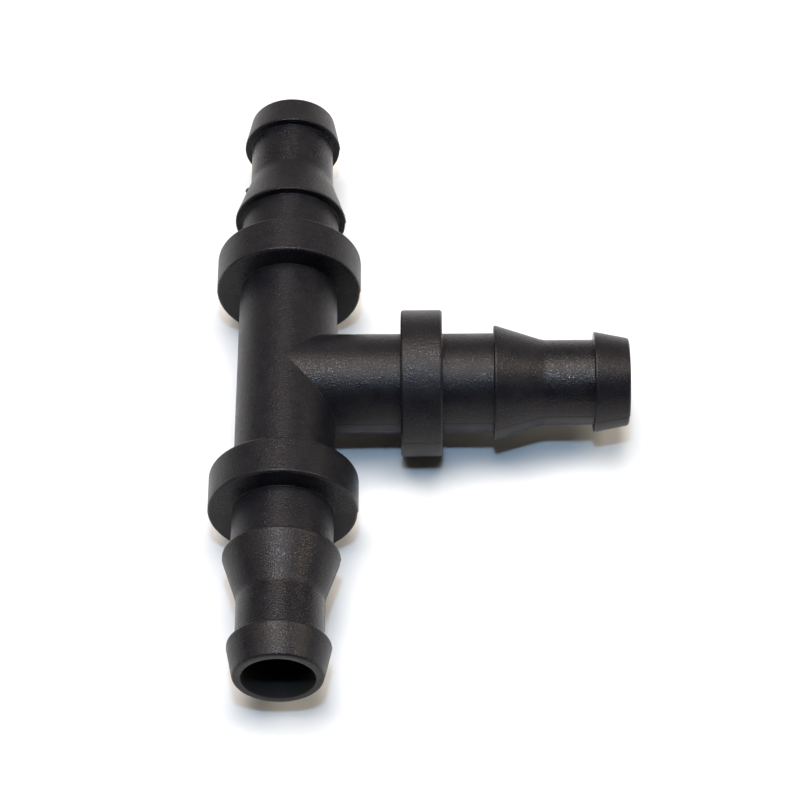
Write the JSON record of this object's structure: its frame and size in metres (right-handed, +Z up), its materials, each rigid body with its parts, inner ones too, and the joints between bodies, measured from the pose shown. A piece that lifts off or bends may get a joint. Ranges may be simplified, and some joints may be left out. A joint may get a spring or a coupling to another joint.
{
  "type": "barbed tee connector",
  "caption": "Equal barbed tee that joins and branches flexible irrigation hose, with a stop collar behind the barbs of each arm.",
  "frame": {"origin": "centre of the base of the whole part's box, on the surface that the three collars lie on; the arms' axes cross at x = -0.019625 m, y = 0, z = 0.01075 m", "axes": "+Y along the straight run, +X along the branch towards its open end, +Z up from the surface that the tee lies on"},
  "size_m": [0.0608, 0.1, 0.0215],
  "materials": {
    "black_plastic": "fine spark-eroded texture, matte, left from the mould"
  },
  "bodies": {
    "root": {"tee_body": "black_plastic"}
  },
  "joints": []
}
